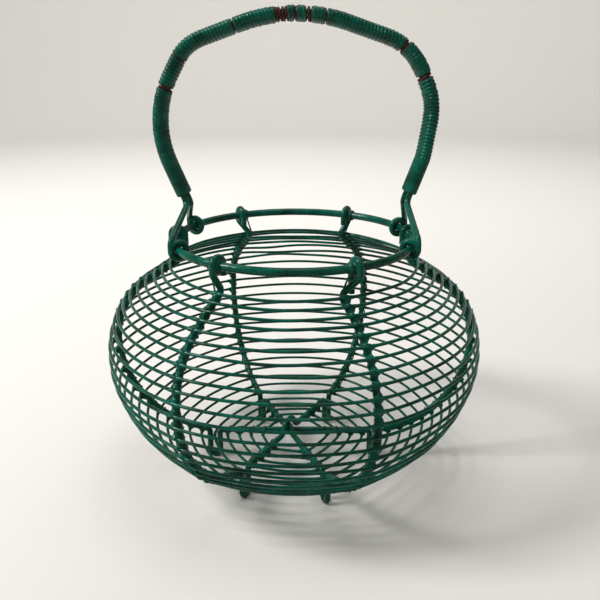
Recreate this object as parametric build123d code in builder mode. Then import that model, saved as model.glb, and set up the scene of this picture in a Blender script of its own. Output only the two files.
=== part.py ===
from build123d import *
import math
import os

# Wire egg-collecting basket with a bail handle, standing on six feet bent in its ribs.
# Millimetres, +Z up, X from the left rib to the right rib.
# The origin is on the floor, under the middle of the basket.

# ---------- driving dimensions ----------

# Wires, by diameter
rim_wire = 5.2
rib_wire = 4.2
weave_wire = 2.0
binding_wire = 1.1
handle_wire = 4.2
touch_gap = 0.15         # paint film between two wires that lie against each other
eye_play = 0.25          # radial play of a handle eye on the rim

# Rim
rim_radius = 80.0        # centreline
rim_height = 171.5

# Rib outline, on the wire's centreline
belly_radius = 125.5
belly_height = 96.0
base_height = 22.5
shoulder_bend = 53.0     # bend radius from the shoulder to the belly
shoulder_sweep = 57.0    # degrees the shoulder bend runs up from the belly to the collar
collar_length = 28.0     # the straight slope from the shoulder bend to the neck's corner
neck_bend = 3.4
hook_tail = 7.0          # how far a hook's end hangs down inside the rim
long_hook_tail = 17.0    # the same on the front right rib, left long by the maker
foot_radius = 60.0       # middle of a foot
foot_width = 7.4         # between the centrelines of a foot's two legs
foot_bend = 4.0
foot_wear = 0.25         # worn off the underside of each foot
crossing_reach = 3.8     # how far past a crossing a rib stays up on the wire it climbs over
crossing_ramp = 3.0      # least length of the slope on each side of that

# Weave
shoulder_turns = 24      # turns from the neck to the outside of the feet
base_turns = 4           # turns inside the feet
first_turn = 5.4         # from the neck's corner down to the first turn
inner_turn_radius = 24.0
turn_clear_of_foot = 6.0
turn_bend = 0.45         # bend radius of a turn where it passes a rib, over the turn's own radius
top_pull = 0.12          # 0 for a round turn, 1 for one drawn straight from rib to rib
base_pull = 0.90
pull_onset = 4           # the higher it is, the longer the turns going down stay round
pitch_growth = 1.4       # the last spacing on the belly over the first one
tie_play = 0.65          # paint and slack under a loop of binding wire round a rib and a turn
tie_lean = 1.15          # a loop's slant: 1 is halfway between the two, more is squarer to the rib
rim_wraps = (1.5, 2.7)   # wraps round the rim beside each hook, in binding wires from the hook

# Handle
handle_plane = 4.0       # y of the middle of the handle
winding_wire = 2.0       # wound tightly round both core wires along the grip
core_roll = 25.0         # degrees the pair is turned, so the front wire lies outside the back one
knee_drop = 6.0          # how far the core wires run on below the grip before they part
leg_bend = 6.0
eye_sweep = 278.0        # how far each eye closes round the rim
# The bend of the grip's centreline from left to right: distance outside (+) or inside (-)
# the rim's radius, height above the rim, and bend radius.
grip_left_side = [(-7.1, 27.9, 0), (13.0, 77.2, 64.0), (-11.9, 122.4, 28.0)]
grip_crown = (0.5, 146.5, 105.0)
grip_right_side = [(-5.8, 121.7, 38.0), (9.5, 88.0, 40.0), (4.8, 53.8, 36.0), (-3.8, 29.5, 0)]
eye_angles = {"front_left": 205.0, "back_left": 154.0, "back_right": 22.0, "front_right": 338.0}

# ---------- where the ribs run ----------

# Three long wires make the six ribs. Each lies in an upright plane with the compass angle of
# its first half, passes the middle at a small offset, and climbs over the wires laid before it.
long_wires = {
    "left_right": {"angle": 0.0, "offset": 2.0, "level": 0, "halves": ("right", "left")},
    "front_right_back_left": {
        "angle": 294.0, "offset": -3.5, "level": 1, "halves": ("front_right", "back_left")
    },
    "front_left_back_right": {
        "angle": 240.5, "offset": -4.5, "level": 2, "halves": ("front_left", "back_right")
    },
}
# Where each hook sits on the rim, which isn't quite above its rib.
hook_angles = {
    "right": 7.0, "back_right": 60.5, "back_left": 121.5,
    "left": 175.0, "front_left": 236.5, "front_right": 297.5,
}
rib_order = ("right", "back_right", "back_left", "left", "front_left", "front_right")

# ---------- derived ----------

hook_bend = rim_wire / 2 + touch_gap + rib_wire / 2
lower_bend = belly_height - base_height
shoulder_centre = (belly_radius - shoulder_bend, belly_height)
lower_centre = (belly_radius - lower_bend, belly_height)
neck_angle = math.radians(shoulder_sweep)
outer_leg = foot_radius + foot_width / 2
inner_leg = foot_radius - foot_width / 2
foot_angle = math.acos((outer_leg + foot_bend - lower_centre[0]) / (lower_bend + foot_bend))
toe_height = rib_wire / 2 - foot_wear + foot_width / 2
weave_offset = rib_wire / 2 + touch_gap + weave_wire / 2
crossing_middle = (weave_offset + weave_wire / 2 - rib_wire / 2) / 2
tie_radius = (rib_wire + touch_gap + weave_wire) / 2 + tie_play + binding_wire / 2
wrap_radius = rim_wire / 2 + touch_gap + binding_wire / 2
eye_bend = rim_wire / 2 + eye_play + handle_wire / 2
core_offset = handle_wire / 2 + touch_gap / 2
winding_bore = handle_wire + 2 * touch_gap


def direction(angle):
    return Vector(math.cos(math.radians(angle)), math.sin(math.radians(angle)), 0)


def rib_side(name):
    """A rib's long wire, its outward direction, and the point its plane passes by the middle."""
    for wire in long_wires.values():
        if name in wire["halves"]:
            turn = 180 * wire["halves"].index(name)
            middle = direction(wire["angle"] + 90) * wire["offset"]
            return wire, direction(wire["angle"] + turn), middle


def rib_point(name, r, z):
    wire, outward, middle = rib_side(name)
    return middle + outward * r + Vector(0, 0, z)


def on_circle(centre, radius, angle):
    return centre[0] + radius * math.cos(angle), centre[1] + radius * math.sin(angle)


def on_collar(length):
    """Point of the straight collar at a length down from the neck's corner."""
    end = on_circle(shoulder_centre, shoulder_bend, neck_angle)
    rest = collar_length - length
    return end[0] - rest * math.sin(neck_angle), end[1] + rest * math.cos(neck_angle)


def arc_points(name, centre, radius, start, end):
    """Start, middle and end of an arc that lies in a rib's plane."""
    return [rib_point(name, *on_circle(centre, radius, a)) for a in (start, (start + end) / 2, end)]


def report_wire(name, part, diameter, path):
    """Prints a bent wire's length, and its volume over that of a straight one as long."""
    length = sum(edge.length for edge in path.edges())
    print(name, round(length, 1), "mm", round(part.volume / (math.pi * diameter**2 / 4 * length), 4))


def write(part, name):
    part.label = name
    export_step(part, f"parts/{name}.step")


os.makedirs("parts", exist_ok=True)

# ---------- rim ----------

with BuildPart() as rim_ring:
    with Locations((0, 0, rim_height)):
        Torus(rim_radius, rim_wire / 2)
write(rim_ring.part, "rim_ring")


# ---------- ribs ----------

def half_rib(name):
    """Edges of one rib from the end of its hook to the inner top of its foot."""
    tail = long_hook_tail if name == "front_right" else hook_tail
    hook_out = direction(hook_angles[name])
    rim_point = hook_out * rim_radius + Vector(0, 0, rim_height)
    inside = rim_point - hook_out * hook_bend
    outside = rim_point + hook_out * hook_bend
    top = rim_point + Vector(0, 0, hook_bend)
    below = outside - Vector(0, 0, hook_bend)
    shoulder = on_circle(shoulder_centre, shoulder_bend, neck_angle)
    corner = on_collar(0)
    outer_bend_centre = on_circle(lower_centre, lower_bend + foot_bend, -foot_angle)
    inner_bend_centre = (inner_leg - foot_bend, base_height - foot_bend)
    toe_centre = (foot_radius, toe_height)
    with BuildLine() as path:
        Line(inside - Vector(0, 0, tail), inside)
        ThreePointArc(inside, top, outside)
        FilletPolyline(
            outside, below, rib_point(name, *corner), rib_point(name, *shoulder),
            radius=(hook_bend, neck_bend),
        )
        ThreePointArc(*arc_points(name, shoulder_centre, shoulder_bend, neck_angle, 0))
        ThreePointArc(*arc_points(name, lower_centre, lower_bend, 0, -foot_angle))
        outer = ThreePointArc(
            *arc_points(name, outer_bend_centre, foot_bend, math.pi - foot_angle, math.pi)
        )
        Line(outer @ 1, rib_point(name, outer_leg, toe_height))
        ThreePointArc(*arc_points(name, toe_centre, foot_width / 2, 0, -math.pi))
        Line(rib_point(name, inner_leg, toe_height), rib_point(name, inner_leg, inner_bend_centre[1]))
        ThreePointArc(*arc_points(name, inner_bend_centre, foot_bend, 0, math.pi / 2))
    return path.line.edges()


def crossing_places(wire):
    """Distances from its middle point at which a long wire crosses those laid before it."""
    run = direction(wire["angle"])
    middle = direction(wire["angle"] + 90) * wire["offset"]
    places = []
    for other in long_wires.values():
        if other["level"] < wire["level"]:
            across = direction(other["angle"] + 90)
            places.append((across * other["offset"] - middle).dot(across) / run.dot(across))
    return places


def base_run(wire):
    """Edges between a long wire's two feet, with a hump over the wires laid before it."""
    first, _ = wire["halves"]
    end = inner_leg - foot_bend
    rise = wire["level"] * (rib_wire + touch_gap)
    with BuildLine() as path:
        if rise:
            places = crossing_places(wire)
            low, high = min(places) - crossing_reach, max(places) + crossing_reach
            ramp = crossing_ramp + rise / 3
            FilletPolyline(
                rib_point(first, end, base_height),
                rib_point(first, high + ramp, base_height),
                rib_point(first, high, base_height + rise),
                rib_point(first, low, base_height + rise),
                rib_point(first, low - ramp, base_height),
                rib_point(first, -end, base_height),
                radius=rib_wire,
            )
        else:
            Line(rib_point(first, end, base_height), rib_point(first, -end, base_height))
    return path.line.edges()


for wire_name, wire in long_wires.items():
    first, second = wire["halves"]
    route = Wire(half_rib(first) + base_run(wire) + half_rib(second))
    with BuildPart() as rib:
        with BuildSketch(Plane(origin=route @ 0, z_dir=route % 0)):
            Circle(rib_wire / 2)
        sweep(path=route)
        # The paint and a little of the wire are worn flat where the feet stand.
        split(bisect_by=Plane.XY, keep=Keep.TOP)
    report_wire(wire_name, rib.part, rib_wire, route)
    write(rib.part, f"rib_wire_{wire_name}")


# ---------- weave ----------

def shoulder_stations():
    """Rib points and outward normals, in a rib's plane, where the upper turns are bound on."""
    upper = (shoulder_bend + weave_offset) * neck_angle
    outer_reach = outer_leg + turn_clear_of_foot - lower_centre[0]
    lower = (lower_bend + weave_offset) * math.acos(outer_reach / (lower_bend + weave_offset))
    whole = collar_length - first_turn + upper + lower
    first_share = 2 / (1 + pitch_growth)
    stations = []
    for turn in range(shoulder_turns):
        t = turn / (shoulder_turns - 1)
        share = first_share * t + (1 - first_share) * t**2
        length = first_turn + whole * share
        bent = length - collar_length
        if bent <= 0:
            angle = neck_angle
            r, z = on_collar(length)
        elif bent <= upper:
            angle = neck_angle - bent / (shoulder_bend + weave_offset)
            r, z = on_circle(shoulder_centre, shoulder_bend, angle)
        else:
            angle = -(bent - upper) / (lower_bend + weave_offset)
            r, z = on_circle(lower_centre, lower_bend, angle)
        stations.append((r, z, math.cos(angle), math.sin(angle), True))
    return stations


def base_stations():
    """The turn that runs through the feet, then those inside them, under the flat of the ribs."""
    stations = [(foot_radius, base_height, 0, -1, False)]
    outermost = inner_leg - turn_clear_of_foot
    spacing = (outermost - inner_turn_radius) / (base_turns - 1)
    for turn in range(base_turns):
        stations.append((outermost - turn * spacing, base_height, 0, -1, True))
    return stations


def turn_corners(station, bend):
    """Centres of the bends where a turn passes the six ribs, and the directions they face."""
    r, z, out, up, _ = station
    corners = []
    for name in rib_order:
        on_rib = rib_point(name, r + out * weave_offset, 0)
        outward = on_rib.normalized()
        corners.append((on_rib - outward * bend, outward))
    return corners


def weave_turn(station, pull):
    """A closed turn: a bend outside each rib, and a flatter arc across each bay."""
    r, z, out, up, _ = station
    bend = turn_bend * (r + out * weave_offset)
    level = Vector(0, 0, z + up * weave_offset)
    corners = turn_corners(station, bend)
    bays = []
    for i, (centre, outward) in enumerate(corners):
        next_centre, next_outward = corners[(i + 1) % 6]
        chord = next_centre - centre
        outside = Vector(chord.Y, -chord.X, 0).normalized()
        half_angle = math.radians(outward.get_angle(next_outward) / 2)
        bulge = (1 - pull) * centre.length * (1 - math.cos(half_angle))
        reach = chord.length**2 / (4 * bulge)
        arc_radius = (bulge + reach) / 2 + bend
        arc_centre = centre + chord / 2 - outside * (reach - bulge) / 2
        first = arc_centre + (centre - arc_centre).normalized() * arc_radius
        middle = arc_centre + outside * arc_radius
        last = arc_centre + (next_centre - arc_centre).normalized() * arc_radius
        bays.append((first + level, middle + level, last + level))
    with BuildLine() as path:
        for i, (first, middle, last) in enumerate(bays):
            centre, outward = corners[(i + 1) % 6]
            ThreePointArc(first, middle, last)
            ThreePointArc(last, centre + outward * bend + level, bays[(i + 1) % 6][0])
    return path


stations = shoulder_stations() + base_stations()
for number, station in enumerate(stations):
    depth = number / (len(stations) - 1)
    path = weave_turn(station, top_pull + (base_pull - top_pull) * depth**pull_onset)
    with BuildPart() as turn:
        with BuildSketch(Plane(origin=path.line @ 0, z_dir=path.line % 0)):
            Circle(weave_wire / 2)
        sweep(path=path.line)
    write(turn.part, f"weave_turn_{number + 1:02d}")


# ---------- binding ----------

def tie_plane(name, station):
    """Plane of one loop of binding wire, which slants between a rib and the turn it crosses."""
    r, z, out, up, _ = station
    _, outward, _ = rib_side(name)
    normal = outward * out + Vector(0, 0, up)
    along_rib = Vector(0, 0, out) - outward * up
    along_turn = Vector(0, 0, 1).cross(rib_point(name, r + out * weave_offset, 0).normalized())
    middle = rib_point(name, r, z) + normal * crossing_middle
    return Plane(origin=middle, z_dir=along_rib * tie_lean - along_turn, x_dir=normal)


for name in rib_order:
    tied = [station for station in stations if station[4]]
    with BuildPart() as binding:
        with Locations(*[tie_plane(name, station) for station in tied]):
            Torus(tie_radius, binding_wire / 2)
        # The wire's end is wound round the rim beside the hook.
        for step in rim_wraps:
            angle = hook_angles[name] - math.degrees((rib_wire / 2 + step * binding_wire) / rim_radius)
            at_rim = direction(angle) * rim_radius + Vector(0, 0, rim_height)
            with Locations(Plane(origin=at_rim, z_dir=direction(angle + 90))):
                Torus(wrap_radius, binding_wire / 2)
    write(binding.part, f"binding_wire_{name}")

# ---------- handle ----------


def grip_corners(y, shift=0.0):
    """Corners and bend radii of the grip's line from left to right, or of one beside it.

    The line lies at depth y, and is moved outward in the handle's plane by the shift.
    """
    corners = [(Vector(-rim_radius - x, y, rim_height + z), bend) for x, z, bend in grip_left_side]
    corners.append((Vector(grip_crown[0], y, rim_height + grip_crown[1]), grip_crown[2]))
    corners += [(Vector(rim_radius + x, y, rim_height + z), bend) for x, z, bend in grip_right_side]
    outward = []
    for (here, _), (there, _) in zip(corners, corners[1:]):
        outward.append(Vector(here.Z - there.Z, 0, there.X - here.X).normalized())
    moved = []
    for i, (corner, bend) in enumerate(corners):
        before = outward[max(i - 1, 0)]
        after = outward[min(i, len(outward) - 1)]
        aside = (before + after) * (shift / (1 + before.dot(after)))
        moved.append((corner + aside, bend + shift))
    return moved


def eye_path(name):
    """Start, middle and end of the arc of one eye, from outside the rim, under it and back."""
    outward = direction(eye_angles[name])
    at_rim = outward * rim_radius + Vector(0, 0, rim_height)
    points = []
    for sweep_angle in (0, -eye_sweep / 2, -eye_sweep):
        turned = math.radians(sweep_angle)
        points.append(at_rim + (outward * math.cos(turned) + Vector(0, 0, math.sin(turned))) * eye_bend)
    return points


for side, lead in (("front", 1), ("back", -1)):
    roll = math.radians(core_roll)
    grip = grip_corners(
        handle_plane - lead * core_offset * math.cos(roll), lead * core_offset * math.sin(roll)
    )
    left_end, right_end = grip[0][0], grip[-1][0]
    left_knee = left_end + (left_end - grip[1][0]).normalized() * knee_drop
    right_knee = right_end + (right_end - grip[-2][0]).normalized() * knee_drop
    left_eye = eye_path(f"{side}_left")
    right_eye = eye_path(f"{side}_right")
    above = Vector(0, 0, leg_bend)
    corners = [(left_eye[0] + above, leg_bend), (left_knee, leg_bend)]
    corners += grip[1:-1]
    corners += [(right_knee, leg_bend), (right_eye[0] + above, leg_bend)]
    with BuildLine() as path:
        ThreePointArc(*reversed(left_eye))
        FilletPolyline(
            left_eye[0], *[point for point, _ in corners], right_eye[0],
            radius=[bend for _, bend in corners],
        )
        ThreePointArc(*right_eye)
    with BuildPart() as core:
        with BuildSketch(Plane(origin=path.line @ 0, z_dir=path.line % 0)):
            Circle(handle_wire / 2)
        sweep(path=path.line)
    report_wire(f"handle_wire_{side}", core.part, handle_wire, path.line)
    write(core.part, f"handle_wire_{side}")

grip = grip_corners(handle_plane)
with BuildPart() as grip_winding:
    with BuildLine() as path:
        FilletPolyline(
            *[point for point, _ in grip], radius=[bend for _, bend in grip[1:-1]]
        )
    # The section is a slot that holds both core wires.
    with BuildSketch(Plane(origin=path.line @ 0, z_dir=path.line % 0, x_dir=(0, 1, 0))):
        SlotCenterToCenter(2 * core_offset, winding_bore + 2 * winding_wire, rotation=-core_roll)
        SlotCenterToCenter(
            2 * core_offset, winding_bore, rotation=-core_roll, mode=Mode.SUBTRACT
        )
    sweep(path=path.line)
write(grip_winding.part, "grip_winding")
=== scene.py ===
import math
import random

import bmesh
import bpy
import numpy as np
from mathutils import Matrix, Vector


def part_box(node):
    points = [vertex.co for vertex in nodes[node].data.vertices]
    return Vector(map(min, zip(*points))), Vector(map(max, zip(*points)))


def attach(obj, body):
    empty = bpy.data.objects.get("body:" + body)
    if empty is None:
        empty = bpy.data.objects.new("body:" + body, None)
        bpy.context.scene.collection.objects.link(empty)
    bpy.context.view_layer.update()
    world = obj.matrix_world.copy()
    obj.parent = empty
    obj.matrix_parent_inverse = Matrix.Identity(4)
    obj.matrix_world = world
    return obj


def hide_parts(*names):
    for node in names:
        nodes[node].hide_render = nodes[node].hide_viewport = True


# A wire egg basket, put together the way its maker does: rim, ribs, weave, binding, handle, grip.
# Everything is in metres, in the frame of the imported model.

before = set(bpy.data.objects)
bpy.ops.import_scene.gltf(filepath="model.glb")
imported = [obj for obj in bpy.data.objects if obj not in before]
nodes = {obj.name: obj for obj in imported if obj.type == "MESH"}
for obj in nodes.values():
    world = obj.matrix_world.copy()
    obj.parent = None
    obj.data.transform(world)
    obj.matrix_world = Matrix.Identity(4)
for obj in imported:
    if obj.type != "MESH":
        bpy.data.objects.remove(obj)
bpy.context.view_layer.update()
MM = 0.001

# ---------- rim ring ----------
# One thick round steel wire bent to a circle, with its ends butted together.
# The finished basket was brushed with gloss enamel, and the handle's eyes have rubbed it through.

THIN_ENAMEL = "013021"
THICK_ENAMEL = "025040"
PIGMENT_STREAK = "077a64"
DARK_RUST = "190f0b"
LIGHT_RUST = "4f2b1e"
RUST_ROUGHNESS = 0.62
ENAMEL_IOR = 1.52
ENAMEL_SHINE = 0.15
RIM_WEAR_REACH = 5.5 * MM
EYE_ANGLES = {"front_left": 205, "back_left": 154, "back_right": 22, "front_right": 338}


def to_linear(hex_colour):
    """An sRGB colour such as "0c6650" as a linear RGBA colour."""
    channels = [int(hex_colour[i:i + 2], 16) / 255 for i in (0, 2, 4)]
    linear = [c / 12.92 if c <= 0.04045 else ((c + 0.055) / 1.055) ** 2.4 for c in channels]
    return (*linear, 1.0)


def add(tree, kind, inputs=None, **settings):
    """Adds a node with its settings; an input is given a value, or an output to link to it."""
    node = tree.nodes.new(kind)
    for name, value in settings.items():
        setattr(node, name, value)
    for name, value in (inputs or {}).items():
        if isinstance(value, bpy.types.NodeSocket):
            tree.links.new(value, node.inputs[name])
        else:
            node.inputs[name].default_value = value
    return node


def gloss_enamel(name, bare=None, brush_marks=0.5):
    """Oil-bound gloss enamel, brushed on thick over steel wire.

    It gives a deep bluish green, darker where the coat is thin, with runs and brush marks a few
    millimetres long. Where bare says so it is rubbed through to brown oxidised steel.
    """
    material = bpy.data.materials.new(name)
    material.use_nodes = True
    tree = material.node_tree
    tree.nodes.clear()
    place = add(tree, "ShaderNodeTexCoord").outputs["Object"]
    # Thick and thin places, 15 mm apart, and pigment streaks of 2 mm.
    coat = add(tree, "ShaderNodeTexNoise", {"Vector": place, "Scale": 65.0, "Detail": 3.0})
    streaks = add(tree, "ShaderNodeTexNoise", {"Vector": place, "Scale": 480.0, "Detail": 4.0})
    thin_to_thick = add(tree, "ShaderNodeMapRange", {
        "Value": coat.outputs["Fac"], "From Min": 0.34, "From Max": 0.66,
    })
    colour = add(tree, "ShaderNodeMix", {
        0: thin_to_thick.outputs["Result"], 6: to_linear(THIN_ENAMEL),
        7: to_linear(THICK_ENAMEL),
    }, data_type="RGBA")
    streak_share = add(tree, "ShaderNodeMapRange", {
        "Value": streaks.outputs["Fac"], "From Min": 0.55, "From Max": 0.8, "To Max": 0.3,
    })
    colour = add(tree, "ShaderNodeMix", {
        0: streak_share.outputs["Result"], 6: colour.outputs[2],
        7: to_linear(PIGMENT_STREAK),
    }, data_type="RGBA")
    roughness = add(tree, "ShaderNodeMapRange", {
        "Value": streaks.outputs["Fac"], "From Min": 0.3, "From Max": 0.7,
        "To Min": 0.12, "To Max": 0.3,
    })
    # Runs and blobs 4 mm long, and orange peel of 0.8 mm.
    runs = add(tree, "ShaderNodeTexNoise", {"Vector": place, "Scale": 250.0, "Detail": 2.0})
    peel = add(tree, "ShaderNodeTexNoise", {"Vector": place, "Scale": 1250.0, "Detail": 1.0})
    run_bump = add(tree, "ShaderNodeBump", {
        "Height": runs.outputs["Fac"], "Strength": brush_marks, "Distance": 0.5 * MM,
    })
    bump = add(tree, "ShaderNodeBump", {
        "Height": peel.outputs["Fac"], "Strength": 0.1, "Distance": 0.1 * MM,
        "Normal": run_bump.outputs["Normal"],
    })
    colour, roughness = colour.outputs[2], roughness.outputs["Result"]
    if bare:
        share = bare(tree, place)
        patches = add(tree, "ShaderNodeTexNoise", {"Vector": place, "Scale": 600.0, "Detail": 3.0})
        rust = add(tree, "ShaderNodeMix", {
            0: patches.outputs["Fac"], 6: to_linear(DARK_RUST), 7: to_linear(LIGHT_RUST),
        }, data_type="RGBA")
        edge = add(tree, "ShaderNodeMath", {0: share, 1: patches.outputs["Fac"]}, operation="ADD")
        broken = add(tree, "ShaderNodeMapRange", {
            "Value": edge.outputs["Value"], "From Min": 0.92, "From Max": 1.08,
        })
        colour = add(tree, "ShaderNodeMix", {
            0: broken.outputs["Result"], 6: colour, 7: rust.outputs[2],
        }, data_type="RGBA").outputs[2]
        roughness = add(tree, "ShaderNodeMix", {
            0: broken.outputs["Result"], 2: roughness, 3: RUST_ROUGHNESS,
        }, data_type="FLOAT").outputs[0]
    shader = add(tree, "ShaderNodeBsdfPrincipled", {
        "Base Color": colour, "Roughness": roughness, "Normal": bump.outputs["Normal"],
        "IOR": ENAMEL_IOR, "Specular IOR Level": ENAMEL_SHINE,
    })
    add(tree, "ShaderNodeOutputMaterial", {"Surface": shader.outputs["BSDF"]})
    return material


def give(piece, material):
    """Puts one material on a whole piece."""
    piece.data.materials.clear()
    piece.data.materials.append(material)


rim_low, rim_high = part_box("rim_ring")
RIM_WIRE = rim_high.z - rim_low.z
RIM_HEIGHT = (rim_high.z + rim_low.z) / 2
RIM_RADIUS = (rim_high.x - rim_low.x - RIM_WIRE) / 2


def direction(degrees):
    """The level unit vector at an angle round the basket."""
    return Vector((math.cos(math.radians(degrees)), math.sin(math.radians(degrees)), 0))


def worn_by_eyes(reach, tilt=0.0):
    """How bare the steel is near the middle of each eye, out to a reach."""
    def bare(tree, place):
        nearest = None
        for degrees in EYE_ANGLES.values():
            centre = direction(degrees) * RIM_RADIUS + Vector((0, 0, RIM_HEIGHT + tilt))
            away = add(tree, "ShaderNodeVectorMath", {0: place, 1: centre}, operation="DISTANCE")
            away = away.outputs["Value"]
            if nearest:
                away = add(tree, "ShaderNodeMath", {0: nearest, 1: away}, operation="MINIMUM")
                away = away.outputs["Value"]
            nearest = away
        return add(tree, "ShaderNodeMapRange", {
            "Value": nearest, "From Min": 0.45 * reach, "From Max": reach,
            "To Min": 0.62, "To Max": 0.0,
        }).outputs["Result"]
    return bare


rim_enamel = gloss_enamel("gloss_enamel_on_rim", worn_by_eyes(RIM_WEAR_REACH))
give(nodes["rim_ring"], rim_enamel)

# ---------- rib wires ----------
# Three long wires, each bent to a hook, half the belly, a foot, the base, and back up the far side.
# Their feet are rubbed through to the steel where they stand.


def worn_feet(tree, place):
    """How bare the steel is near the floor."""
    height = add(tree, "ShaderNodeSeparateXYZ", {"Vector": place}).outputs["Z"]
    return add(tree, "ShaderNodeMapRange", {
        "Value": height, "From Min": 0.1 * MM, "From Max": 1.2 * MM, "To Min": 0.7, "To Max": 0.0,
    }).outputs["Result"]


rib_enamel = gloss_enamel("gloss_enamel_on_ribs", worn_feet)
rib_wires = sorted(name for name in nodes if name.startswith("rib_wire_"))
for name in rib_wires:
    give(nodes[name], rib_enamel)

# ---------- weave turns ----------
# Fine steel wire laid round the outside of the ribs by hand and tied on at each one, so between
# the ties every turn strays a little up, down and inward. Paint has run into the corners.

WEAVE_WIRE = 2.0 * MM
TURN_STRAY_UP = 0.75 * MM
TURN_STRAY_IN = 0.9 * MM
PAINT_IN_CORNER = 0.42 * MM
CORNER_FROM_TIE = 2.4 * MM
CORNER_SPREAD = 1.6 * MM
POINT_SPACING = 0.36 * MM
# A turn of this radius or more strays freely; a smaller one is stiffer.
FREE_RADIUS = 90 * MM
# Turns knocked out of line at the back: where, and how far up (+) or down (-).
DENT_WIDTH = 9.0
DENTS = {5: (102.0, -1.9 * MM), 6: (100.0, -1.3 * MM), 7: (98.0, 1.0 * MM)}
turn_names = sorted(name for name in nodes if name.startswith("weave_turn_"))
binding_names = sorted(name for name in nodes if name.startswith("binding_wire_"))
weave_enamel = gloss_enamel("gloss_enamel_on_weave", brush_marks=0.3)


def section_centres(node, radius):
    """Points on a CAD wire's centreline: its skin, moved in along the normals by its radius."""
    mesh = nodes[node].data
    skin = np.empty(len(mesh.vertices) * 3, np.float32)
    mesh.vertices.foreach_get("co", skin)
    normals = np.empty(len(mesh.loops) * 3, np.float32)
    mesh.corner_normals.foreach_get("vector", normals)
    corners = np.empty(len(mesh.loops), np.int32)
    mesh.loops.foreach_get("vertex_index", corners)
    return skin.reshape(-1, 3)[corners] - radius * normals.reshape(-1, 3)


def loops_of(node):
    """Centres of the separate closed loops that a CAD binding node is made of."""
    shape = bmesh.new()
    shape.from_mesh(nodes[node].data)
    bmesh.ops.remove_doubles(shape, verts=shape.verts, dist=0.001 * MM)
    centres = []
    waiting = set(shape.verts)
    while waiting:
        group = [waiting.pop()]
        total = Vector()
        for vert in group:
            total += vert.co
            for edge in vert.link_edges:
                other = edge.other_vert(vert)
                if other in waiting:
                    waiting.remove(other)
                    group.append(other)
        centres.append(total / len(group))
    shape.free()
    return centres


def tube(name, points, radii, closed=False, sides=12):
    """A round wire along close points, with its own radius at each."""
    count = len(points)
    points = [Vector(p) for p in points]
    tangents = []
    for i in range(count):
        before = points[i - 1] if closed or i else points[i]
        after = points[(i + 1) % count] if closed or i < count - 1 else points[i]
        tangents.append((after - before).normalized())
    side = tangents[0].orthogonal().normalized()
    sides_at = [side]
    for i in range(1, count):
        side = side - tangents[i] * side.dot(tangents[i])
        side.normalize()
        sides_at.append(side)
    twist = 0.0
    if closed:
        carried = side - tangents[0] * side.dot(tangents[0])
        twist = math.atan2(carried.cross(sides_at[0]).dot(tangents[0]), carried.dot(sides_at[0]))
    verts, faces = [], []
    for i in range(count):
        across = tangents[i].cross(sides_at[i])
        for k in range(sides):
            angle = 2 * math.pi * k / sides + twist * i / count
            aside = sides_at[i] * math.cos(angle) + across * math.sin(angle)
            verts.append(points[i] + aside * radii[i])
    for i in range(count if closed else count - 1):
        j = (i + 1) % count
        for k in range(sides):
            n = (k + 1) % sides
            faces.append((i * sides + k, i * sides + n, j * sides + n, j * sides + k))
    if not closed:
        for i, order in ((0, -1), (count - 1, 1)):
            verts.append(points[i] + tangents[i] * order * radii[i] * 0.5)
            for k in range(sides):
                pair = (i * sides + k, i * sides + (k + 1) % sides)
                faces.append((*pair[::order], len(verts) - 1))
    mesh = bpy.data.meshes.new(name)
    mesh.from_pydata(verts, [], faces)
    mesh.shade_smooth()
    piece = bpy.data.objects.new(name, mesh)
    bpy.context.scene.collection.objects.link(piece)
    return piece


# Where each rib is tied: its ties from the neck down the belly, then inward under the base.
rib_ties, rim_wraps = {}, {}
for name in binding_names:
    rib = name.removeprefix("binding_wire_")
    centres = loops_of(name)
    on_rim = [c for c in centres if c.z > RIM_HEIGHT - RIM_WIRE]
    base_level = min(c.z for c in centres) + WEAVE_WIRE
    under = [c for c in centres if c.z < base_level]
    above = [c for c in centres if c.z >= base_level and c not in on_rim]
    above.sort(key=lambda c: -c.z)
    under.sort(key=lambda c: -c.xy.length)
    # The turn through the feet isn't tied.
    rib_ties[rib] = above + [None] + under
    rim_wraps[rib] = on_rim


def stray(rng, share):
    """A turn's path between two ties, from 0 at one to 0 at the other, at a share of the bay."""
    return math.sin(math.pi * share) ** 2 * rng[0] + math.sin(2 * math.pi * share) ** 2 * rng[1]


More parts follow.
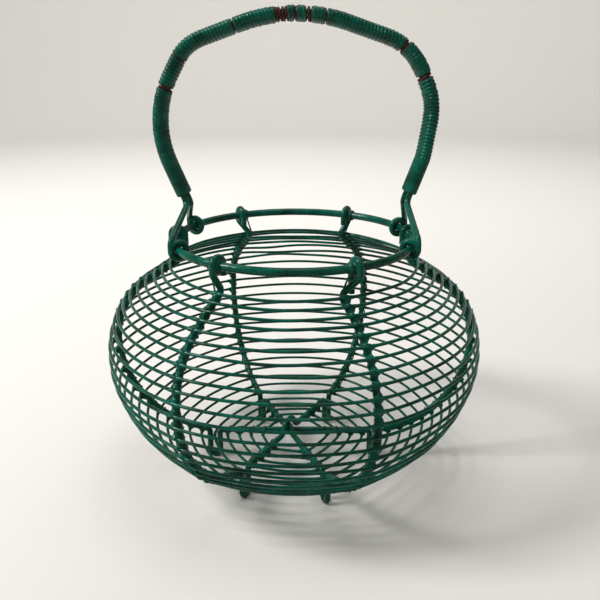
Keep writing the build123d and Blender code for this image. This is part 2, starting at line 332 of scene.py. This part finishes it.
turn_lines = []
for number, name in enumerate(turn_names):
    rng = random.Random(100 + number)
    centres = section_centres(name, WEAVE_WIRE / 2)
    level = float(centres[:, 2].mean())
    azimuths = np.degrees(np.arctan2(centres[:, 1], centres[:, 0])) % 360
    reach = np.hypot(centres[:, 0], centres[:, 1])
    steps = max(120, int(reach.mean() / POINT_SPACING))
    around = np.arange(steps) * 360 / steps
    order = np.argsort(azimuths)
    line = np.interp(around, azimuths[order], reach[order], period=360)
    soften = np.array([1, 2, 3, 2, 1]) / 9
    padded = np.concatenate([line[-2:], line, line[:2]])
    line = np.convolve(padded, soften, "valid")
    tied = [ties[number] or ties[number - 1] for ties in rib_ties.values()]
    tie_angles = sorted(math.degrees(math.atan2(t.y, t.x)) % 360 for t in tied)
    ups = [(rng.uniform(-1, 1), rng.uniform(-0.5, 0.5)) for _ in tie_angles]
    ins = [(rng.uniform(0, 1), rng.uniform(0, 0.4)) for _ in tie_angles]
    freedom = min(1.0, float(line.mean()) / FREE_RADIUS)
    points, radii = [], []
    for azimuth, radius in zip(around, line):
        bay = sum(angle <= azimuth for angle in tie_angles) - 1
        start = tie_angles[bay]
        span = (tie_angles[(bay + 1) % 6] - start) % 360
        share = ((azimuth - start) % 360) / span
        up = stray(ups[bay], share) * TURN_STRAY_UP * freedom
        if number in DENTS:
            dented_at, dent = DENTS[number]
            up += dent * math.exp(-((azimuth - dented_at) / DENT_WIDTH) ** 2)
        inward = stray(ins[bay], share) * TURN_STRAY_IN * freedom
        points.append(direction(azimuth) * (radius - inward) + Vector((0, 0, level + up)))
        to_tie = math.radians(min(share, 1 - share) * span) * radius
        fill = math.exp(-((to_tie - CORNER_FROM_TIE) / CORNER_SPREAD) ** 2)
        radii.append(WEAVE_WIRE / 2 + PAINT_IN_CORNER * fill)
    turn_lines.append(points)
    piece = tube(name.replace("weave_turn", "bent_turn"), points, radii, closed=True)
    give(piece, weave_enamel)
    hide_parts(name)
    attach(piece, "basket")

# ---------- binding wires ----------
# Very fine wire: two wraps round the rim beside a hook, a strand down to the neck, then down the
# rib with one slanting loop over each turn. The enamel has clogged it into soft knots.

BINDING_WIRE = 1.1 * MM
LOOP_SIDE = 2.6 * MM
LOOP_OUT = 3.55 * MM
LOOP_SLANT = 2.3 * MM
KNOT = Vector((2.75, 3.0, 3.9)) * MM
HOOK_KNOB = Vector((3.2, 5.9, 5.9)) * MM
WRAP_PAINT = Vector((2.0, 3.9, 3.9)) * MM
HOOK_ANGLES = {
    "right": 7.0, "back_right": 60.5, "back_left": 121.5,
    "left": 175.0, "front_left": 236.5, "front_right": 297.5,
}
PAINT_VOXEL = 0.36 * MM
PAINT_ROUNDS = 6
STRAND_RADIUS = 0.62 * BINDING_WIRE
KNOT_SINK = 0.3 * MM
TURNS_ON_RIM = 2.3
# The wraps run from beside the first one out to here, in steps from wrap to wrap.
WRAP_RUN = 1.3
binding_enamel = gloss_enamel("gloss_enamel_on_binding", brush_marks=0.8)


def tie_frames(ties, turns):
    """For each tie: its middle, and unit vectors out of the rib, along it and to its left."""
    frames = []
    for i, (tie, turn) in enumerate(zip(ties, turns)):
        nearest = min(turn, key=lambda p: (p - tie).length)
        before, after = ties[max(i - 1, 0)], ties[min(i + 1, len(ties) - 1)]
        along = (after - before).normalized()
        out = nearest - tie
        out = (out - along * out.dot(along)).normalized()
        frames.append((tie, out, along, along.cross(out)))
    return frames


def loops_down_rib(frames):
    """The binding's path over one row of ties."""
    path = []
    for tie, out, along, left in frames:
        for step in range(25):
            turned = 2 * math.pi * step / 24
            if step <= 12:
                down = -LOOP_SLANT + 1.6 * LOOP_SLANT * step / 12
            else:
                down = 0.6 * LOOP_SLANT + 0.5 * LOOP_SLANT * (step - 12) / 12
            path.append(
                tie + left * (LOOP_SIDE * math.cos(turned)) + out * (LOOP_OUT * math.sin(turned))
                + along * down
            )
    return path


def paint_blob(name, centre, axes, radii):
    """A soft lump of paint: an ellipsoid with its own axes."""
    shape = bmesh.new()
    bmesh.ops.create_icosphere(shape, subdivisions=3, radius=1.0)
    turn = Matrix(axes).transposed()
    for vert in shape.verts:
        scaled = Vector((vert.co.x * radii[0], vert.co.y * radii[1], vert.co.z * radii[2]))
        vert.co = centre + turn @ scaled
    mesh = bpy.data.meshes.new(name)
    shape.to_mesh(mesh)
    shape.free()
    blob = bpy.data.objects.new(name, mesh)
    bpy.context.scene.collection.objects.link(blob)
    return blob


def run_together(name, parts, voxel, rounds):
    """Joins wires and lumps of paint into one skin, and lets the paint soften it."""
    shape = bmesh.new()
    for part in parts:
        shape.from_mesh(part.data)
        bpy.data.objects.remove(part)
    mesh = bpy.data.meshes.new(name)
    shape.to_mesh(mesh)
    shape.free()
    piece = bpy.data.objects.new(name, mesh)
    bpy.context.scene.collection.objects.link(piece)
    skin = piece.modifiers.new("skin", "REMESH")
    skin.mode = "VOXEL"
    skin.voxel_size = voxel
    flow = piece.modifiers.new("flow", "SMOOTH")
    flow.factor = 0.5
    flow.iterations = rounds
    bpy.context.view_layer.update()
    evaluated = piece.evaluated_get(bpy.context.evaluated_depsgraph_get())
    piece.data = bpy.data.meshes.new_from_object(evaluated)
    piece.modifiers.clear()
    piece.data.shade_smooth()
    return piece


SHOULDER_TIES = next(iter(rib_ties.values())).index(None)
for rib, ties in rib_ties.items():
    shoulder = tie_frames(ties[:SHOULDER_TIES], turn_lines[:SHOULDER_TIES])
    base = tie_frames(ties[SHOULDER_TIES + 1:], turn_lines[SHOULDER_TIES + 1:])
    # The start is wound round the rim beside the hook.
    wraps = sorted(rim_wraps[rib], key=lambda c: (c - ties[0]).length)
    wrap_step = wraps[1] - wraps[0]
    radial = Vector((wraps[0].x, wraps[0].y, 0)).normalized()
    round_rim = []
    for step in range(56):
        share = step / 55
        angle = 2 * math.pi * TURNS_ON_RIM * (share - 1)
        centre = wraps[0] + wrap_step * (WRAP_RUN - WRAP_RUN * share)
        aside = radial * math.cos(angle) + Vector((0, 0, 1)) * math.sin(angle)
        round_rim.append(centre + aside * (RIM_WIRE / 2 + 0.6 * BINDING_WIRE))
    path = round_rim + loops_down_rib(shoulder)
    parts = [tube("strand", path, [STRAND_RADIUS] * len(path), sides=8)]
    path = loops_down_rib(base)
    parts.append(tube("strand", path, [STRAND_RADIUS] * len(path), sides=8))
    rng = random.Random(rib)
    for tie, out, along, left in shoulder + base:
        grow = rng.uniform(0.9, 1.08)
        parts.append(paint_blob("knot", tie - out * KNOT_SINK, (left, out, along), KNOT * grow))
    # Paint has rounded the hook and the wraps beside it into one knob on the rim.
    outward = direction(HOOK_ANGLES[rib])
    rim_axes = (direction(HOOK_ANGLES[rib] + 90), outward, Vector((0, 0, 1)))
    on_rim = outward * RIM_RADIUS + Vector((0, 0, RIM_HEIGHT))
    parts.append(paint_blob("knob", on_rim, rim_axes, HOOK_KNOB))
    parts.append(paint_blob("knob", (wraps[0] + wraps[1]) / 2, rim_axes, WRAP_PAINT))
    piece = run_together(f"lashing_{rib}", parts, PAINT_VOXEL, PAINT_ROUNDS)
    give(piece, binding_enamel)
    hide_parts(f"binding_wire_{rib}")
    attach(piece, "basket")

# ---------- handle core wires ----------
# Two steel wires side by side under the grip. At each end they part, one to the front and one to
# the back, and close round the rim as loose eyes. The eyes are rubbed to brown steel inside.

HANDLE_WIRE = 4.2 * MM
EYE_WEAR_REACH = 6.2 * MM
EYE_WEAR_DROP = -0.5 * MM
EYE_STEPS = 48
handle_worn = worn_by_eyes(EYE_WEAR_REACH, EYE_WEAR_DROP)
handle_enamel = gloss_enamel("gloss_enamel_on_handle_wires", handle_worn)
for name in ("handle_wire_front", "handle_wire_back"):
    give(nodes[name], handle_enamel)
# Enamel closes each eye into a full ring, which still slides along the rim.
EYE_RADIUS = 4.95 * MM
EYE_PAINT = 2.2 * MM
for corner, degrees in EYE_ANGLES.items():
    outward = direction(degrees)
    ring = []
    for step in range(EYE_STEPS):
        angle = 2 * math.pi * step / EYE_STEPS
        aside = outward * math.cos(angle) + Vector((0, 0, 1)) * math.sin(angle)
        ring.append(outward * RIM_RADIUS + Vector((0, 0, RIM_HEIGHT)) + aside * EYE_RADIUS)
    eye = tube(f"eye_paint_{corner}", ring, [EYE_PAINT] * EYE_STEPS, closed=True, sides=16)
    give(eye, handle_enamel)
    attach(eye, "handle")

# ---------- grip winding ----------
# Steel wire wound tightly round both core wires. Thick enamel has filled its grooves, most of all
# low on the left, and has split where hands have pulled the turns apart.

WINDING_WIRE = 2.0 * MM
WINDING_PITCH = 2.27 * MM
ARCH_MIDDLE_RISE = 65 * MM
BELOW_GRIP = 4 * MM
grip_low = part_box("grip_winding")[0]
GRIP_MIDDLE = Vector((0, 0, RIM_HEIGHT + ARCH_MIDDLE_RISE))


def core_line(node, around):
    """A core wire's centreline along the grip, at angles round the middle of the arch."""
    centres = section_centres(node, HANDLE_WIRE / 2)
    centres = centres[centres[:, 2] > grip_low.z - BELOW_GRIP]
    angles = np.arctan2(centres[:, 0] - GRIP_MIDDLE.x, centres[:, 2] - GRIP_MIDDLE.z)
    order = np.argsort(angles)
    return np.stack(
        [np.interp(around, angles[order], centres[order, axis]) for axis in range(3)], axis=1
    )


winding_skin = section_centres("grip_winding", 0)
winding_angles = np.arctan2(winding_skin[:, 0] - GRIP_MIDDLE.x, winding_skin[:, 2] - GRIP_MIDDLE.z)
around = np.linspace(winding_angles.min(), winding_angles.max(), 1500)
front_core = core_line("handle_wire_front", around)
back_core = core_line("handle_wire_back", around)
grip_line = (front_core + back_core) / 2
run = np.concatenate([[0], np.cumsum(np.linalg.norm(np.diff(grip_line, axis=0), axis=1))])
grip_length = run[-1]
END_INSET = 1.2 * MM

# Where along the grip the turns have been pulled apart, how far in millimetres, and how many
# bare turns show there.
PULLED_APART = [
    (0.211, 2.3, 1), (0.27, 0.35, 0), (0.388, 0.6, 0), (0.477, 7.6, 4), (0.502, 1.3, 1),
    (0.526, 3.4, 1), (0.558, 0.45, 0), (0.709, 2.2, 1), (0.776, 2.6, 1),
]


def along_grip(distance, line):
    """The place on a line of the grip at a distance along the grip."""
    return Vector([float(np.interp(distance, run, line[:, axis])) for axis in range(3)])


def grip_frame(distance):
    """A point of the grip's line, and unit vectors across the cores, outward and along."""
    middle = along_grip(distance, grip_line)
    ahead = along_grip(distance + 1 * MM, grip_line)
    behind = along_grip(distance - 1 * MM, grip_line)
    along = (ahead - behind).normalized()
    pair = along_grip(distance, front_core - back_core)
    pair = (pair - along * pair.dot(along)).normalized()
    return middle, pair, along.cross(pair), along


CORE_APART = 2.175 * MM
CHUNK_SIDES = 40
CHUNK_STEP = 0.2 * MM
# Each chunk of enamel is drawn in at its ends, and worn bare at its very edge.
END_ROUND = 0.9 * MM
END_DRAW_IN = 0.28
BARE_EDGE = 1.0 * MM


def on_slot(angle, radius):
    """A point of the rounded slot round both cores, across the pair and square to it."""
    across = math.cos(angle)
    return CORE_APART * math.tanh(3 * across) + radius * across, radius * math.sin(angle)


def enamelled_chunk(start, end, groove_at):
    """The enamel skin over a run of tight turns, closed at both ends. It keeps their grooves."""
    sides = CHUNK_SIDES
    steps = max(6, int((end - start) / CHUNK_STEP))
    verts, faces, bare = [], [], []
    for i in range(steps + 1):
        distance = start + (end - start) * i / steps
        middle, pair, out, _ = grip_frame(distance)
        from_end = min(distance - start, end - distance)
        shoulder = 1 - max(0.0, 1 - from_end / END_ROUND) * END_DRAW_IN
        for k in range(sides):
            angle = 2 * math.pi * k / sides
            phase = (distance / WINDING_PITCH - k / sides) % 1 * 2 - 1
            depth = (1 - math.sqrt(max(0.0, 1 - phase ** 2))) * groove_at(distance)
            radius = HANDLE_WIRE / 2 + (WINDING_WIRE - depth) * shoulder
            across, square = on_slot(angle, radius)
            verts.append(middle + pair * across + out * square)
            bare.append(max(0.0, 1 - from_end / BARE_EDGE))
    for i in range(steps):
        for k in range(sides):
            n = (k + 1) % sides
            faces.append((i * sides + k, i * sides + n, (i + 1) * sides + n, (i + 1) * sides + k))
    for i, order in ((0, -1), (steps, 1)):
        middle = grip_frame(start + (end - start) * i / steps)[0]
        verts.append(middle)
        bare.append(1.0)
        for k in range(sides):
            pair = (i * sides + k, i * sides + (k + 1) % sides)
            faces.append((*pair[::order], len(verts) - 1))
    return verts, faces, bare


# How deep the grooves still are, in millimetres, by the share of the grip's length. They are
# clogged low on the left and at the right end.
GROOVES = [
    (0.0, 0.08), (0.1, 0.2), (0.2, 0.4), (0.22, 0.95), (0.33, 0.9), (0.38, 0.4), (0.46, 0.35),
    (0.62, 0.3), (0.65, 0.8), (0.7, 0.85), (0.72, 0.35), (0.77, 0.3), (0.78, 0.95), (0.9, 0.9),
    (0.93, 0.12), (1.0, 0.05),
]


def groove_depth(distance):
    """The depth of the grooves at a distance along the grip."""
    return float(np.interp(distance / grip_length, *zip(*GROOVES))) * MM


def bare_between(tree, place):
    """How bare the steel is at the edges of the splits in the enamel."""
    painted = add(tree, "ShaderNodeAttribute", attribute_name="bare")
    return add(tree, "ShaderNodeMapRange", {
        "Value": painted.outputs["Fac"], "From Min": 0.1, "From Max": 1.0,
        "To Min": 0.0, "To Max": 0.9,
    }).outputs["Result"]


def all_bare(tree, place):
    """Steel that is bare nearly everywhere."""
    share = add(tree, "ShaderNodeValue").outputs["Value"]
    share.default_value = NEARLY_BARE
    return share


NEARLY_BARE = 0.72
BARE_WIRE = 1.5 * MM
BARE_TUCK = 1.2 * MM
BARE_STEPS = 48
grip_enamel = gloss_enamel("gloss_enamel_on_winding", bare_between, brush_marks=0.25)
bare_steel = gloss_enamel("bare_brown_winding_wire", all_bare, brush_marks=0.25)
verts, faces, bare, bare_turns = [], [], [], []
start = END_INSET
for share, gap, turns in [*PULLED_APART, (1.0, 0.0, 0)]:
    gap_middle = share * grip_length
    end = gap_middle - gap * MM / 2 if gap else grip_length - END_INSET
    chunk = enamelled_chunk(start, end, groove_depth)
    faces += [[v + len(verts) for v in face] for face in chunk[1]]
    verts += chunk[0]
    bare += chunk[2]
    start = gap_middle + gap * MM / 2
    if turns:
        # The wire runs bare across the gap, from under one chunk of enamel to the next.
        steps = BARE_STEPS * (turns + 1)
        path = []
        for step in range(steps + 1):
            reach = end - BARE_TUCK + (start - end + 2 * BARE_TUCK) * step / steps
            middle, pair, out, _ = grip_frame(reach)
            angle = 2 * math.pi * step / BARE_STEPS
            across, square = on_slot(angle, HANDLE_WIRE / 2 + BARE_WIRE / 2)
            path.append(middle + pair * across + out * square)
        bare_name = f"bare_turns_{len(bare_turns) + 1}"
        bare_turns.append(tube(bare_name, path, [BARE_WIRE / 2] * len(path)))
for piece in bare_turns:
    give(piece, bare_steel)
    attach(piece, "handle")
mesh = bpy.data.meshes.new("winding")
mesh.from_pydata(verts, [], faces)
mesh.shade_smooth()
mesh.attributes.new("bare", "FLOAT", "POINT").data.foreach_set("value", bare)
winding = bpy.data.objects.new("enamelled_winding", mesh)
bpy.context.scene.collection.objects.link(winding)
give(winding, grip_enamel)
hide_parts("grip_winding")
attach(winding, "handle")

# ---------- studio ----------
# A pale floor that curves up all round, a large soft window light from the left, a weak one from
# the right, and the camera a little above the rim.

FLOOR_COLOUR = "c9c6c0"
FLOOR_REACH = 2.2
COVE = 0.8
COVE_SIDES = 96
WALL = 1.6
profile = [(0.0, 0.0), (0.6, 0.0), (FLOOR_REACH, 0.0)]
for step in range(1, 13):
    angle = math.pi / 2 * step / 12
    profile.append((FLOOR_REACH + COVE * math.sin(angle), COVE - COVE * math.cos(angle)))
profile.append((FLOOR_REACH + COVE, WALL))
verts, faces = [Vector((0, 0, 0))], []
for radius, height in profile[1:]:
    for k in range(COVE_SIDES):
        verts.append(direction(360 * k / COVE_SIDES) * radius + Vector((0, 0, height)))
for k in range(COVE_SIDES):
    faces.append((0, 1 + k, 1 + (k + 1) % COVE_SIDES))
for i in range(len(profile) - 2):
    for k in range(COVE_SIDES):
        n = (k + 1) % COVE_SIDES
        first, second = 1 + i * COVE_SIDES, 1 + (i + 1) * COVE_SIDES
        faces.append((first + k, second + k, second + n, first + n))
mesh = bpy.data.meshes.new("floor")
mesh.from_pydata(verts, [], faces)
mesh.shade_smooth()
floor = bpy.data.objects.new("floor", mesh)
bpy.context.scene.collection.objects.link(floor)
paper = bpy.data.materials.new("pale_backdrop_paper")
paper.use_nodes = True
tree = paper.node_tree
tree.nodes.clear()
fibres = add(tree, "ShaderNodeTexNoise", {"Scale": 900.0, "Detail": 2.0})
bump = add(tree, "ShaderNodeBump", {
    "Height": fibres.outputs["Fac"], "Strength": 0.1, "Distance": 0.05 * MM,
})
shader = add(tree, "ShaderNodeBsdfPrincipled", {
    "Base Color": to_linear(FLOOR_COLOUR), "Roughness": 0.85, "Normal": bump.outputs["Normal"],
})
add(tree, "ShaderNodeOutputMaterial", {"Surface": shader.outputs["BSDF"]})
give(floor, paper)

world = bpy.data.worlds.new("soft_daylight")
bpy.context.scene.world = world
world.use_nodes = True
daylight = world.node_tree.nodes["Background"]
daylight.inputs["Color"].default_value = to_linear("e6ebf0")
daylight.inputs["Strength"].default_value = 0.27


def softbox(name, place, size, power, aim):
    """A large square light that faces a point."""
    light = bpy.data.lights.new(name, "AREA")
    light.size = size
    light.energy = power
    lamp = bpy.data.objects.new(name, light)
    lamp.location = place
    lamp.rotation_euler = (Vector(aim) - Vector(place)).to_track_quat("-Z", "Y").to_euler()
    bpy.context.scene.collection.objects.link(lamp)
    return lamp


BASKET_MIDDLE = (0, 0, 0.15)
softbox("window", (-1.5, -0.3, 1.5), 0.6, 52, BASKET_MIDDLE)
softbox("sky", (0.1, -0.1, 1.7), 0.8, 7, BASKET_MIDDLE)
softbox("room", (1.3, -1.1, 0.8), 1.2, 1.5, BASKET_MIDDLE)
softbox("backdrop", (0, 1.0, 1.7), 1.6, 36, (0, 2.6, 0.2))

CAMERA_PLACE = (0.00578, -0.45775, 0.28937)
CAMERA_DOWN = 19.6
CAMERA_TURN = 0.23
camera_data = bpy.data.cameras.new("camera")
camera_data.sensor_width = 36
camera_data.lens = 41.72
camera_data.clip_start = 0.01
camera = bpy.data.objects.new("camera", camera_data)
camera.location = CAMERA_PLACE
camera.rotation_euler = (math.radians(90 - CAMERA_DOWN), 0, math.radians(CAMERA_TURN))
bpy.context.scene.collection.objects.link(camera)
bpy.context.scene.camera = camera
bpy.context.scene.view_settings.view_transform = "Standard"
